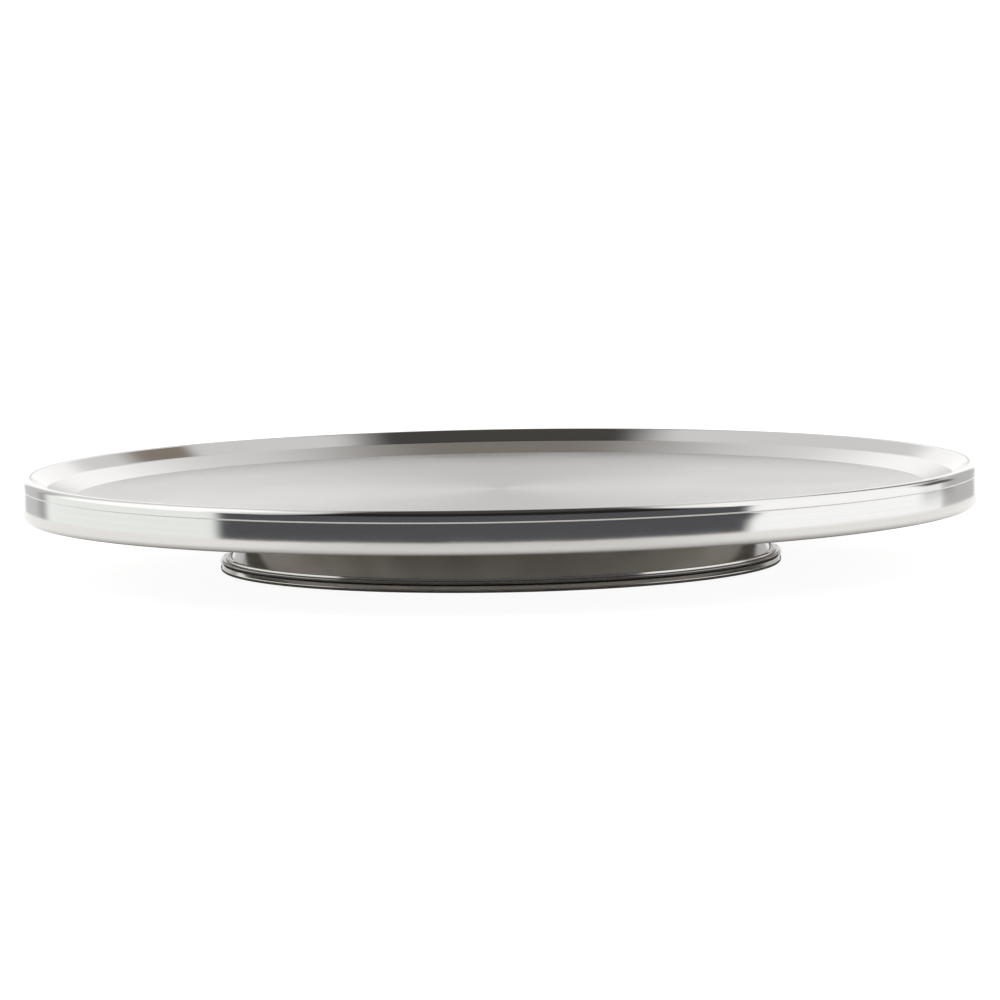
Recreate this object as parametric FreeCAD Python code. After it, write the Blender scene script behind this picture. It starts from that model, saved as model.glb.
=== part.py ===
"""Low stainless-steel cake turntable: a spun plate that turns on a ball ring above a small closed base.

All sizes are in millimetres. The axis of rotation is Z, +Z is up, and Z = 0 is the surface that the
rubber feet stand on.
"""
import FreeCAD, Part
import math
import os

from FreeCAD import Vector

# ---------------------------------------------------------------- driving sizes
# Plate: spun stainless sheet with a flat well, a sloping rim, a rolled lip and a skirt.
PLATE_DIAMETER = 305.0
PLATE_SHEET = 0.9
RIM_WIDTH = 16.7
RIM_RISE = 7.0
RIM_BREAK_RUN = 9.0
RIM_BREAK_RISE = 3.3
LIP_RADIUS = 1.9
LIP_DEPTH = 3.7
LIP_NIP = 0.22
SKIRT_DEPTH = 13.6
SKIRT_LEAN_DEG = 5.0
SKIRT_CURVED_SHARE = 0.85
SKIRT_HEM_WIDTH = 3.4
SKIRT_HEM_BEND = 2.0
WELL_EDGE_BEND = 1.5
RIM_BREAK_BEND = 3.0
NIP_BEND = 0.3

# Base: two stainless pressings seamed together at a beaded flange.
BASE_DIAMETER = 179.5
BASE_SHEET = 0.8
FLANGE_WIDTH = 3.35
FLANGE_BEND = 0.9
WALL_DRAFT = 4.2
DECK_CORNER_BEND = 3.0
BEAD_RADIUS = 0.5
BEAD_SINK = 0.25
RIDGE_INSET = 1.5
RIDGE_WIDTH = 1.05
RIDGE_RISE = 0.7
RIDGE_SINK = 0.3
RIDGE_CHAMFER = 0.1
GASKET_THICKNESS = 0.5

# Bottom pan. Its band leans in a little towards the seam above a tight heel.
PAN_RIM_INSET = 0.05
PAN_RIM_DROP = 1.0
PAN_BAND_HEIGHT = 2.2
PAN_BAND_LEAN = 0.45
PAN_HEEL_WIDTH = 9.7
PAN_HEEL_SLOPE_RUN = 1.5
PAN_LIP_WIDTH = 3.8
PAN_HEEL_BEND = 0.9
PAN_FLOOR_BEND = 1.1
PAN_LIP_BEND = 0.4

# Rubber feet, pushed through the pan.
FOOT_COUNT = 4
FOOT_PAD_HEIGHT = 2.0
FOOT_PAD_RADIUS = 8.0
FOOT_PAD_ROUND = 0.6
FOOT_DIMPLE_RADIUS = 2.5
FOOT_DIMPLE_DEPTH = 0.8
FOOT_STEM_RADIUS = 2.5
FOOT_BARB_OVERLAP = 1.1
FOOT_BARB_HEIGHT = 1.6

# Discs that back the thin sheet, and the rivets that hold the races to them.
STIFFENER_EDGE_GAP = 5.2
STIFFENER_THICKNESS = 1.5
CARRIER_OVERHANG = 3.0
CARRIER_THICKNESS = 1.2
FIXING_EDGE_GAP = 7.0
RIVET_COUNT = 6
RIVET_EDGE_GAP = 4.5
RIVET_RADIUS = 2.0
RIVET_HEAD_RADIUS = 3.5
RIVET_HEAD_DEPTH = 1.1
RIVET_TAIL_RADIUS = 3.2
RIVET_TAIL_HEIGHT = 1.2
RIVET_TAIL_FLAT = 0.6

# Ball ring between the base deck and the plate.
BALL_DIAMETER = 5.0
BALL_COUNT = 24
BALL_RUNNING_GAP = 0.05
GROOVE_DEPTH = 1.0
GROOVE_EASE = 0.1
RACE_THICKNESS = 2.0
RACE_EDGE_GAP = 6.0
RACE_OUTER_LAND = 11.0
RACE_INNER_LAND = 7.0
RACE_CHAMFER = 0.4
CAGE_MARGIN = 1.3
CAGE_THICKNESS = 1.8
CAGE_POCKET_GAP = 0.15

# Centre spindle, its bush and the parts that hold it down.
SPINDLE_RADIUS = 4.0
SPINDLE_SPIGOT_SHOULDER = 1.0
SPINDLE_FLANGE_WIDTH = 7.0
SPINDLE_FLANGE_THICKNESS = 1.6
THREAD_RADIUS = 3.0
THREAD_STICKOUT = 0.5
THREAD_END_GAP = 2.35
BUSH_WALL = 1.95
BUSH_FLANGE_WIDTH = 3.0
BUSH_FLANGE_THICKNESS = 1.5
BUSH_STICKOUT = 0.5
THRUST_WASHER_WIDTH = 4.95
THRUST_WASHER_THICKNESS = 0.8
DISC_SPRING_WIDTH = 3.45
DISC_SPRING_SHEET = 0.45
DISC_SPRING_HEIGHT = 0.7
WASHER_WIDTH = 5.0
WASHER_THICKNESS = 1.0
NUT_ACROSS_FLATS = 10.0
NUT_HEX_HEIGHT = 3.7
NUT_COLLAR_WALL = 0.8
NUT_COLLAR_HEIGHT = 1.3
NUT_INSERT_WALL = 0.87
NUT_INSERT_HEIGHT = 1.1

# Screws that close the base, and the tapped posts that take them.
SCREW_RADIUS = 2.0
SCREW_LENGTH = 8.0
SCREW_END_GAP = 1.8
SCREW_HEAD_OVERLAP = 1.8
SCREW_HEAD_HEIGHT = 1.5
SCREW_RECESS_SPAN = 4.2
SCREW_RECESS_WIDTH = 0.9
SCREW_RECESS_DEPTH = 1.0
POST_WALL = 1.97
POST_SPIGOT_RADIUS = 2.5

# Clearances between mating pieces, all radial, and the usual broken edge.
RUNNING_CLEARANCE = 0.05
SCREW_HOLE_CLEARANCE = 0.25
FIT_CLEARANCE = 0.03
EDGE_BREAK = 0.3

# ---------------------------------------------------------------- radii, worked in from the outside
plate_radius = PLATE_DIAMETER / 2
well_radius = plate_radius - RIM_WIDTH

base_radius = BASE_DIAMETER / 2
wall_foot_radius = base_radius - FLANGE_WIDTH
wall_top_radius = wall_foot_radius - WALL_DRAFT
bead_centre_radius = base_radius - BEAD_RADIUS
ridge_outer_radius = base_radius - RIDGE_INSET
pan_rim_radius = base_radius - PAN_RIM_INSET
pan_floor_radius = pan_rim_radius - PAN_HEEL_WIDTH
pan_lip_inner_radius = pan_rim_radius - PAN_LIP_WIDTH
stiffener_radius = wall_top_radius - STIFFENER_EDGE_GAP
fixing_circle_radius = stiffener_radius - FIXING_EDGE_GAP
race_outer_radius = stiffener_radius - RACE_EDGE_GAP
rivet_circle_radius = race_outer_radius - RIVET_EDGE_GAP
ball_circle_radius = race_outer_radius - RACE_OUTER_LAND
race_inner_radius = ball_circle_radius - RACE_INNER_LAND
carrier_radius = race_outer_radius + CARRIER_OVERHANG

ball_radius = BALL_DIAMETER / 2
groove_radius = ball_radius + GROOVE_EASE
journal_bore_radius = SPINDLE_RADIUS + RUNNING_CLEARANCE
spigot_radius = SPINDLE_RADIUS + SPINDLE_SPIGOT_SHOULDER
spindle_flange_radius = spigot_radius + SPINDLE_FLANGE_WIDTH
bush_body_radius = journal_bore_radius + BUSH_WALL
bush_flange_radius = bush_body_radius + BUSH_FLANGE_WIDTH
thread_bore_radius = THREAD_RADIUS + FIT_CLEARANCE
nut_insert_radius = thread_bore_radius + NUT_INSERT_WALL
screw_bore_radius = SCREW_RADIUS + FIT_CLEARANCE

# ---------------------------------------------------------------- heights, worked up from the feet
pan_floor_underside = FOOT_PAD_HEIGHT
pan_floor_top = pan_floor_underside + BASE_SHEET
pan_rim_bottom = pan_floor_underside - PAN_RIM_DROP
pan_rim_top = pan_rim_bottom + PAN_BAND_HEIGHT
flange_underside = pan_rim_top + GASKET_THICKNESS
flange_top = flange_underside + BASE_SHEET

thread_end = pan_floor_top + THREAD_END_GAP
nut_bottom = thread_end + THREAD_STICKOUT
nut_hex_bottom = nut_bottom + NUT_COLLAR_HEIGHT
washer_bottom = nut_hex_bottom + NUT_HEX_HEIGHT
spindle_shoulder = washer_bottom + WASHER_THICKNESS
disc_spring_top = spindle_shoulder + DISC_SPRING_HEIGHT
thrust_washer_bottom = disc_spring_top + RUNNING_CLEARANCE
bush_bottom = thrust_washer_bottom + THRUST_WASHER_THICKNESS
stiffener_underside = bush_bottom + BUSH_STICKOUT
deck_underside = stiffener_underside + STIFFENER_THICKNESS
deck_top = deck_underside + BASE_SHEET

lower_race_top = deck_top + RACE_THICKNESS
lower_groove_bottom = lower_race_top - GROOVE_DEPTH
ball_centre_height = lower_groove_bottom + BALL_RUNNING_GAP + ball_radius
upper_groove_top = ball_centre_height + ball_radius + BALL_RUNNING_GAP
upper_race_underside = upper_groove_top - GROOVE_DEPTH
upper_race_top = upper_race_underside + RACE_THICKNESS
carrier_top = upper_race_top + CARRIER_THICKNESS
well_height = carrier_top + PLATE_SHEET
crest_height = well_height + RIM_RISE
skirt_bottom = crest_height - SKIRT_DEPTH

UP = Vector(0, 0, 1)
CENTRE = Vector(0, 0, 0)


# ---------------------------------------------------------------- helpers
def in_section(point):
    """A (radius, height) pair as a point of the half section in the XZ plane."""
    return Vector(point[0], 0, point[1])


def spin(face):
    """A half section turned once round the axis."""
    return face.revolve(CENTRE, UP, 360)


def turned(outline):
    """A turned piece from its closed outline of (radius, height) corners."""
    corners = [in_section(point) for point in outline]
    wire = Part.makePolygon(corners + corners[:1])
    return spin(Part.Face(wire))


def bent_line(points, bends):
    """A line through points with each inner corner rounded to its bend radius."""
    corners = [in_section(point) for point in points]
    edges = []
    start = corners[0]
    for before, corner, after, bend in zip(corners, corners[1:], corners[2:], bends):
        towards_before = (before - corner).normalize()
        towards_after = (after - corner).normalize()
        half_angle = towards_before.getAngle(towards_after) / 2
        tangent_length = bend / math.tan(half_angle)
        bisector = (towards_before + towards_after).normalize()
        arc_start = corner + towards_before * tangent_length
        arc_end = corner + towards_after * tangent_length
        arc_middle = corner + bisector * (bend / math.sin(half_angle) - bend)
        edges.append(Part.LineSegment(start, arc_start).toShape())
        edges.append(Part.Arc(arc_start, arc_middle, arc_end).toShape())
        start = arc_end
    edges.append(Part.LineSegment(start, corners[-1]).toShape())
    return Part.Wire(edges)


def pressed_sheet(points, bends, thickness):
    """A round pressing: the bent line is one skin, and the sheet lies on its left, or on its right if
    the thickness is negative."""
    section = bent_line(points, bends).makeOffset2D(thickness, fill=True, openResult=True)
    return spin(section)


def disc(radius, low, high):
    """An upright cylinder on the axis between two heights."""
    return Part.makeCylinder(radius, high - low, Vector(0, 0, low))


def ring(inner_radius, outer_radius, low, high):
    """A plain flat ring between two heights."""
    return disc(outer_radius, low, high).cut(disc(inner_radius, low, high))


def chamfered_ring(inner_radius, outer_radius, low, high, chamfer):
    """A flat ring with all four of its edges broken."""
    return turned([
        (inner_radius + chamfer, low),
        (outer_radius - chamfer, low),
        (outer_radius, low + chamfer),
        (outer_radius, high - chamfer),
        (outer_radius - chamfer, high),
        (inner_radius + chamfer, high),
        (inner_radius, high - chamfer),
        (inner_radius, low + chamfer),
    ])


def on_circle(shape, circle_radius, count, first_angle=0.0):
    """Copies of a shape made at the axis, set out evenly on a circle."""
    copies = []
    for index in range(count):
        copy = shape.copy()
        copy.translate(Vector(circle_radius, 0, 0))
        copy.rotate(CENTRE, UP, first_angle + 360.0 * index / count)
        copies.append(copy)
    return copies


def on_post_places(shape):
    """Copies of a shape on the fixing circle, halfway between the feet."""
    return on_circle(shape, fixing_circle_radius, FOOT_COUNT, 180.0 / FOOT_COUNT)


# ---------------------------------------------------------------- plate and what turns with it
def make_plate():
    """Spun plate: well, two-slope rim, rolled lip, nip line, slightly barrelled skirt and inward hem."""
    lip_centre = (plate_radius - LIP_RADIUS, crest_height - LIP_RADIUS)
    rim_break = (well_radius + RIM_BREAK_RUN, well_height + RIM_BREAK_RISE)
    run = lip_centre[0] - rim_break[0]
    rise = lip_centre[1] - rim_break[1]
    upper_slope = math.atan2(rise, run) + math.asin(LIP_RADIUS / math.hypot(run, rise))
    lip_corner = (plate_radius, rim_break[1] + (plate_radius - rim_break[0]) * math.tan(upper_slope))

    lean = math.radians(SKIRT_LEAN_DEG)
    nip_height = crest_height - LIP_DEPTH
    bulge_height = (nip_height + skirt_bottom + SKIRT_HEM_BEND) / 2
    bulge_bend = SKIRT_CURVED_SHARE * (nip_height - bulge_height) / math.sin(lean)
    bulge_corner = plate_radius + bulge_bend * (1 / math.cos(lean) - 1)
    nip_radius = bulge_corner - (nip_height - bulge_height) * math.tan(lean)
    heel_radius = bulge_corner - (bulge_height - skirt_bottom) * math.tan(lean)
    skin = [
        (0, well_height),
        (well_radius, well_height),
        rim_break,
        lip_corner,
        (plate_radius, nip_height + LIP_NIP),
        (nip_radius, nip_height),
        (bulge_corner, bulge_height),
        (heel_radius, skirt_bottom),
        (heel_radius - SKIRT_HEM_WIDTH, skirt_bottom),
    ]
    bends = [
        WELL_EDGE_BEND,
        RIM_BREAK_BEND,
        LIP_RADIUS,
        NIP_BEND,
        NIP_BEND,
        bulge_bend,
        SKIRT_HEM_BEND,
    ]
    return pressed_sheet(skin, bends, -PLATE_SHEET)


def countersunk_hole(face_height, into):
    """Cutter for a rivet hole: into is +1 when the hole runs up from the face, -1 when it runs down."""
    head = RIVET_HEAD_RADIUS + FIT_CLEARANCE
    shank = RIVET_RADIUS + FIT_CLEARANCE
    head_end = face_height + into * RIVET_HEAD_DEPTH
    cone = turned([(0, face_height), (head, face_height), (shank, head_end), (0, head_end)])
    reach = RACE_THICKNESS + BASE_SHEET + STIFFENER_THICKNESS
    low = min(face_height, face_height + into * reach)
    return cone.fuse(disc(shank, low, low + reach))


def ball_groove(centre_height):
    """Cutter for a race's groove."""
    return Part.makeTorus(ball_circle_radius, groove_radius, Vector(0, 0, centre_height))


def make_carrier_disc():
    """Steel disc spot-welded under the well. The spindle is staked in its centre."""
    plain = chamfered_ring(
        spigot_radius + FIT_CLEARANCE, carrier_radius, upper_race_top, carrier_top, EDGE_BREAK)
    holes = on_circle(countersunk_hole(carrier_top, -1), rivet_circle_radius, RIVET_COUNT)
    return plain.cut(holes)


def make_upper_race():
    """Grooved ring that turns with the plate."""
    plain = chamfered_ring(
        race_inner_radius, race_outer_radius, upper_race_underside, upper_race_top, RACE_CHAMFER)
    grooved = plain.cut(ball_groove(upper_groove_top - groove_radius))
    holes = on_circle(countersunk_hole(upper_race_underside, 1), rivet_circle_radius, RIVET_COUNT)
    return grooved.cut(holes)


def make_upper_race_rivets():
    """Rivets set flush at both ends, because the well lies on one and the balls run past the other."""
    rivet = turned([
        (0, upper_race_underside),
        (RIVET_HEAD_RADIUS, upper_race_underside),
        (RIVET_RADIUS, upper_race_underside + RIVET_HEAD_DEPTH),
        (RIVET_RADIUS, carrier_top - RIVET_HEAD_DEPTH),
        (RIVET_HEAD_RADIUS, carrier_top),
        (0, carrier_top),
    ])
    return Part.makeCompound(on_circle(rivet, rivet_circle_radius, RIVET_COUNT))


def make_spindle():
    """Turned pin: spigot in the carrier, flange under it, running journal and threaded end."""
    flange_bottom = upper_race_top - SPINDLE_FLANGE_THICKNESS
    return turned([
        (0, thread_end),
        (THREAD_RADIUS - EDGE_BREAK, thread_end),
        (THREAD_RADIUS, thread_end + EDGE_BREAK),
        (THREAD_RADIUS, spindle_shoulder),
        (SPINDLE_RADIUS - EDGE_BREAK, spindle_shoulder),
        (SPINDLE_RADIUS, spindle_shoulder + EDGE_BREAK),
        (SPINDLE_RADIUS, flange_bottom),
        (spindle_flange_radius - EDGE_BREAK, flange_bottom),
        (spindle_flange_radius, flange_bottom + EDGE_BREAK),
        (spindle_flange_radius, upper_race_top),
        (spigot_radius, upper_race_top),
        (spigot_radius, carrier_top),
        (0, carrier_top),
    ])


def make_disc_spring():
    """Coned spring washer that takes up the end play."""
    outer_radius = journal_bore_radius + DISC_SPRING_WIDTH
    cone_rise = DISC_SPRING_HEIGHT - DISC_SPRING_SHEET
    return turned([
        (outer_radius, spindle_shoulder),
        (outer_radius, spindle_shoulder + DISC_SPRING_SHEET),
        (journal_bore_radius, disc_spring_top),
        (journal_bore_radius, spindle_shoulder + cone_rise),
    ])


def make_spindle_washer():
    """Plain washer clamped against the spindle's shoulder."""
    outer_radius = thread_bore_radius + WASHER_WIDTH
    return chamfered_ring(thread_bore_radius, outer_radius, washer_bottom, spindle_shoulder, EDGE_BREAK / 2)


def make_lock_nut():
    """Hexagon nut with a round collar, bored for its nylon insert."""
    corner_radius = NUT_ACROSS_FLATS / math.sqrt(3)
    corners = []
    for index in range(6):
        angle = math.radians(60 * index)
        corner = Vector(math.cos(angle), math.sin(angle), 0) * corner_radius
        corners.append(corner + UP * nut_hex_bottom)
    hexagon = Part.Face(Part.makePolygon(corners + corners[:1])).extrude(UP * NUT_HEX_HEIGHT)
    chamfer_cone = turned([
        (0, nut_hex_bottom),
        (NUT_ACROSS_FLATS / 2, nut_hex_bottom),
        (corner_radius, nut_hex_bottom + EDGE_BREAK),
        (corner_radius, washer_bottom - EDGE_BREAK),
        (NUT_ACROSS_FLATS / 2, washer_bottom),
        (0, washer_bottom),
    ])
    collar = disc(nut_insert_radius + NUT_COLLAR_WALL, nut_bottom, nut_hex_bottom)
    body = hexagon.common(chamfer_cone).fuse(collar)
    bore = disc(thread_bore_radius, nut_bottom, washer_bottom)
    insert_seat = disc(nut_insert_radius, nut_bottom, nut_bottom + NUT_INSERT_HEIGHT)
    return body.cut([bore, insert_seat]).removeSplitter()


def make_lock_nut_insert():
    """Nylon ring that grips the thread."""
    return ring(thread_bore_radius, nut_insert_radius, nut_bottom, nut_bottom + NUT_INSERT_HEIGHT)


# ---------------------------------------------------------------- ball cage and balls
def make_ball_cage():
    """Moulded ring that keeps the balls evenly apart."""
    half_width = ball_radius + CAGE_MARGIN
    low = ball_centre_height - CAGE_THICKNESS / 2
    high = ball_centre_height + CAGE_THICKNESS / 2
    plain = chamfered_ring(
        ball_circle_radius - half_width, ball_circle_radius + half_width, low, high, EDGE_BREAK)
    pocket = disc(ball_radius + CAGE_POCKET_GAP, low, high)
    return plain.cut(on_circle(pocket, ball_circle_radius, BALL_COUNT))


def make_bearing_balls():
    """Steel balls, each a solid of its own."""
    ball = Part.makeSphere(ball_radius, Vector(0, 0, ball_centre_height))
    return Part.makeCompound(on_circle(ball, ball_circle_radius, BALL_COUNT))


# ---------------------------------------------------------------- base
def make_base_shell():
    """Inverted dish: flat deck, drawn wall, and a flange with one square-edged ridge and a rolled bead."""
    skin = [
        (bush_body_radius + FIT_CLEARANCE, deck_top),
        (wall_top_radius, deck_top),
        (wall_foot_radius, flange_top),
        (bead_centre_radius, flange_top),
    ]
    dish = pressed_sheet(skin, [DECK_CORNER_BEND, FLANGE_BEND], -BASE_SHEET)
    bead = Part.makeTorus(bead_centre_radius, BEAD_RADIUS, Vector(0, 0, flange_top - BEAD_SINK))
    ridge = chamfered_ring(
        ridge_outer_radius - RIDGE_WIDTH, ridge_outer_radius, flange_top - RIDGE_SINK, flange_top + RIDGE_RISE,
        RIDGE_CHAMFER)
    holes = on_circle(countersunk_hole(lower_race_top, -1), rivet_circle_radius, RIVET_COUNT)
    return dish.fuse([bead, ridge]).cut(holes)


def make_deck_stiffener():
    """Steel disc welded under the deck: it backs the race and carries the posts."""
    plain = chamfered_ring(
        bush_body_radius + FIT_CLEARANCE, stiffener_radius, stiffener_underside, deck_underside, EDGE_BREAK)
    rivet_holes = on_circle(countersunk_hole(lower_race_top, -1), rivet_circle_radius, RIVET_COUNT)
    post_hole = disc(POST_SPIGOT_RADIUS + FIT_CLEARANCE, stiffener_underside, deck_underside)
    post_holes = on_post_places(post_hole)
    return plain.cut(rivet_holes + post_holes)


def make_lower_race():
    """Grooved ring riveted to the deck."""
    plain = chamfered_ring(race_inner_radius, race_outer_radius, deck_top, lower_race_top, RACE_CHAMFER)
    grooved = plain.cut(ball_groove(lower_groove_bottom + groove_radius))
    holes = on_circle(countersunk_hole(lower_race_top, -1), rivet_circle_radius, RIVET_COUNT)
    return grooved.cut(holes)


def make_lower_race_rivets():
    """Rivets through race, deck and stiffener, flush above and headed over below."""
    tail_end = stiffener_underside - RIVET_TAIL_HEIGHT
    rivet = turned([
        (0, tail_end),
        (RIVET_TAIL_RADIUS * RIVET_TAIL_FLAT, tail_end),
        (RIVET_TAIL_RADIUS, tail_end + RIVET_TAIL_HEIGHT * RIVET_TAIL_FLAT),
        (RIVET_TAIL_RADIUS, stiffener_underside),
        (RIVET_RADIUS, stiffener_underside),
        (RIVET_RADIUS, lower_race_top - RIVET_HEAD_DEPTH),
        (RIVET_HEAD_RADIUS, lower_race_top),
        (0, lower_race_top),
    ])
    return Part.makeCompound(on_circle(rivet, rivet_circle_radius, RIVET_COUNT))


def make_centre_bush():
    """Flanged bronze bush pressed through the deck and its stiffener."""
    bush_top = deck_top + BUSH_FLANGE_THICKNESS
    return turned([
        (journal_bore_radius + EDGE_BREAK, bush_bottom),
        (bush_body_radius - EDGE_BREAK, bush_bottom),
        (bush_body_radius, bush_bottom + EDGE_BREAK),
        (bush_body_radius, deck_top),
        (bush_flange_radius, deck_top),
        (bush_flange_radius, bush_top - EDGE_BREAK),
        (bush_flange_radius - EDGE_BREAK, bush_top),
        (journal_bore_radius + EDGE_BREAK, bush_top),
        (journal_bore_radius, bush_top - EDGE_BREAK),
        (journal_bore_radius, bush_bottom + EDGE_BREAK),
    ])


def make_thrust_washer():
    """Nylon washer against the underside of the bush."""
    outer_radius = journal_bore_radius + THRUST_WASHER_WIDTH
    return ring(journal_bore_radius, outer_radius, thrust_washer_bottom, bush_bottom)


def make_base_pan():
    """Bottom pressing: raised floor, rounded heel, outer band and a lip turned in under the seal."""
    skin = [
        (0, pan_floor_underside),
        (pan_floor_radius, pan_floor_underside),
        (pan_floor_radius + PAN_HEEL_SLOPE_RUN, pan_rim_bottom),
        (pan_rim_radius, pan_rim_bottom),
        (pan_rim_radius - PAN_BAND_LEAN, pan_rim_top),
        (pan_lip_inner_radius, pan_rim_top),
    ]
    bends = [PAN_FLOOR_BEND, PAN_FLOOR_BEND, PAN_HEEL_BEND, PAN_LIP_BEND]
    plain = pressed_sheet(skin, bends, BASE_SHEET)
    screw_hole = disc(SCREW_RADIUS + SCREW_HOLE_CLEARANCE, pan_floor_underside, pan_floor_top)
    foot_hole = disc(FOOT_STEM_RADIUS + FIT_CLEARANCE, pan_floor_underside, pan_floor_top)
    holes = on_post_places(screw_hole)
    holes += on_circle(foot_hole, fixing_circle_radius, FOOT_COUNT)
    return plain.cut(holes)


def make_seam_gasket():
    """Black rubber ring that seals the seam between the two pressings."""
    outer_radius = bead_centre_radius - BEAD_RADIUS - FIT_CLEARANCE
    return ring(pan_lip_inner_radius, outer_radius, pan_rim_top, flange_underside)


def make_cover_posts():
    """Tapped pillars staked in the stiffener. They take the screws that hold the pan."""
    bore_top = pan_floor_underside + SCREW_LENGTH + SCREW_END_GAP
    pillar = disc(screw_bore_radius + POST_WALL, pan_floor_top, stiffener_underside)
    spigot = disc(POST_SPIGOT_RADIUS, stiffener_underside, deck_underside)
    bore = disc(screw_bore_radius, pan_floor_top, bore_top)
    post = pillar.fuse(spigot).cut(bore)
    return Part.makeCompound(on_post_places(post))


def make_cover_screws():
    """Low cross-head screws, driven from below. Their heads stop short of the ground."""
    head_bottom = pan_floor_underside - SCREW_HEAD_HEIGHT
    head_radius = SCREW_RADIUS + SCREW_HEAD_OVERLAP
    shank_end = pan_floor_underside + SCREW_LENGTH
    screw = turned([
        (0, head_bottom),
        (head_radius - SCREW_HEAD_HEIGHT / 2, head_bottom),
        (head_radius, head_bottom + SCREW_HEAD_HEIGHT / 2),
        (head_radius, pan_floor_underside),
        (SCREW_RADIUS, pan_floor_underside),
        (SCREW_RADIUS, shank_end - EDGE_BREAK),
        (SCREW_RADIUS - EDGE_BREAK, shank_end),
        (0, shank_end),
    ])
    slot_corner = Vector(-SCREW_RECESS_SPAN / 2, -SCREW_RECESS_WIDTH / 2, head_bottom)
    slot = Part.makeBox(SCREW_RECESS_SPAN, SCREW_RECESS_WIDTH, SCREW_RECESS_DEPTH, slot_corner)
    cross_slot = slot.copy()
    cross_slot.rotate(CENTRE, UP, 90)
    screw = screw.cut([slot, cross_slot])
    return Part.makeCompound(on_post_places(screw))


def make_rubber_feet():
    """Push-in rubber feet: pad below the pan, stem through it, barb above it."""
    barb_top = pan_floor_top + FOOT_BARB_HEIGHT
    foot = turned([
        (0, FOOT_DIMPLE_DEPTH),
        (FOOT_DIMPLE_RADIUS - FOOT_DIMPLE_DEPTH, FOOT_DIMPLE_DEPTH),
        (FOOT_DIMPLE_RADIUS, 0),
        (FOOT_PAD_RADIUS - FOOT_PAD_ROUND, 0),
        (FOOT_PAD_RADIUS, FOOT_PAD_ROUND),
        (FOOT_PAD_RADIUS, pan_floor_underside),
        (FOOT_STEM_RADIUS, pan_floor_underside),
        (FOOT_STEM_RADIUS, pan_floor_top),
        (FOOT_STEM_RADIUS + FOOT_BARB_OVERLAP, pan_floor_top),
        (FOOT_STEM_RADIUS - EDGE_BREAK, barb_top),
        (0, barb_top),
    ])
    return Part.makeCompound(on_circle(foot, fixing_circle_radius, FOOT_COUNT))


# ---------------------------------------------------------------- write one file per piece
PIECES = {
    "plate": make_plate,
    "carrier_disc": make_carrier_disc,
    "upper_race": make_upper_race,
    "upper_race_rivets": make_upper_race_rivets,
    "spindle": make_spindle,
    "disc_spring": make_disc_spring,
    "spindle_washer": make_spindle_washer,
    "lock_nut": make_lock_nut,
    "lock_nut_insert": make_lock_nut_insert,
    "ball_cage": make_ball_cage,
    "bearing_balls": make_bearing_balls,
    "base_shell": make_base_shell,
    "deck_stiffener": make_deck_stiffener,
    "lower_race": make_lower_race,
    "lower_race_rivets": make_lower_race_rivets,
    "centre_bush": make_centre_bush,
    "thrust_washer": make_thrust_washer,
    "base_pan": make_base_pan,
    "seam_gasket": make_seam_gasket,
    "cover_posts": make_cover_posts,
    "cover_screws": make_cover_screws,
    "rubber_feet": make_rubber_feet,
}

os.makedirs("parts", exist_ok=True)
for name, make_piece in PIECES.items():
    piece = make_piece()
    box = piece.BoundBox
    print(f"{name}: {len(piece.Solids)} solid(s), valid {piece.isValid()}, {piece.Volume:.0f} mm3, "
          f"radius {box.XMax:.2f}, height {box.ZMin:.2f} to {box.ZMax:.2f}")
    piece.exportStep(f"parts/{name}.step")
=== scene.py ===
import math

import bmesh
import bpy
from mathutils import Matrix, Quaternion, Vector


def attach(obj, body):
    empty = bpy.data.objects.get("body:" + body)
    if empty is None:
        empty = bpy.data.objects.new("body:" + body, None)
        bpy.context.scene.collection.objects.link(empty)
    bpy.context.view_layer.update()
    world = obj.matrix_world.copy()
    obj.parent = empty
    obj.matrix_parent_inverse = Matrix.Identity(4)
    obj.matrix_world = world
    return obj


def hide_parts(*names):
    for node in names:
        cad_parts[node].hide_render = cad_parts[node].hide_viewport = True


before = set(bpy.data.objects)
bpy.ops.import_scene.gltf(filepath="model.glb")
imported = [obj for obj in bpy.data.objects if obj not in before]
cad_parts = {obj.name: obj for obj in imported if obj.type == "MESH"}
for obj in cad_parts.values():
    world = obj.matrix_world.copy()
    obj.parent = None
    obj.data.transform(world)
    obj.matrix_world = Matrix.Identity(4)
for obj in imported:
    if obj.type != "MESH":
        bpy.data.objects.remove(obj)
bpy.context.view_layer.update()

bpy.ops.object.select_all(action="DESELECT")


# ---------------------------------------------------------------- studio
# The stand is seen from five degrees above its rim, through a long lens, on a pale floor in a white tent.
# Sizes are in millimetres, which MM turns to metres. Z is the axis of rotation. The feet stand on Z = 0.
MM = 0.001
CREST_HEIGHT = 32.2
CAMERA_DISTANCE = 2135
CAMERA_ELEVATION = math.radians(4.90)
CAMERA_LENS = 240.2
CAMERA_ROLL = math.radians(1.01)
CAMERA_REACH = 100000
AIM_BELOW_CREST = 10.66
ROUND_SIDES = 128
FLOOR_RADIUS = 12000
FLOOR_GLOW = 0.93
FLOOR_GREY = "#959595"
TABLE_RADIUS = 300
TABLE_DROP = 0.5
TABLE_WARM_WHITE = "#E7E5E2"
TABLE_GLOW_TINT = "#FFFFFE"
# Levels and radii of the table's painted light: its glow at the middle and sides, the painted shadow round
# the stand, and the glowing disc under it.
TABLE_SIDES_FROM = 80
TABLE_SIDES_TO = 200
TABLE_MIDDLE_GLOW = 0.13
TABLE_SIDE_GLOW = 0.34
TABLE_PAINTED_SHADOW_RADIUS = 100
TABLE_PAINTED_SHADOW_EDGE = 150
TABLE_DISC_RADIUS = 78
TABLE_DISC_BLUR = 6
TABLE_DISC_GLOW = 0.55
LAMP_SIZE = 1600
LAMP_HEIGHT = 1600
LAMP_WATTS = 9.0

scene = bpy.context.scene
scene.view_settings.view_transform = "Standard"


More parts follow.
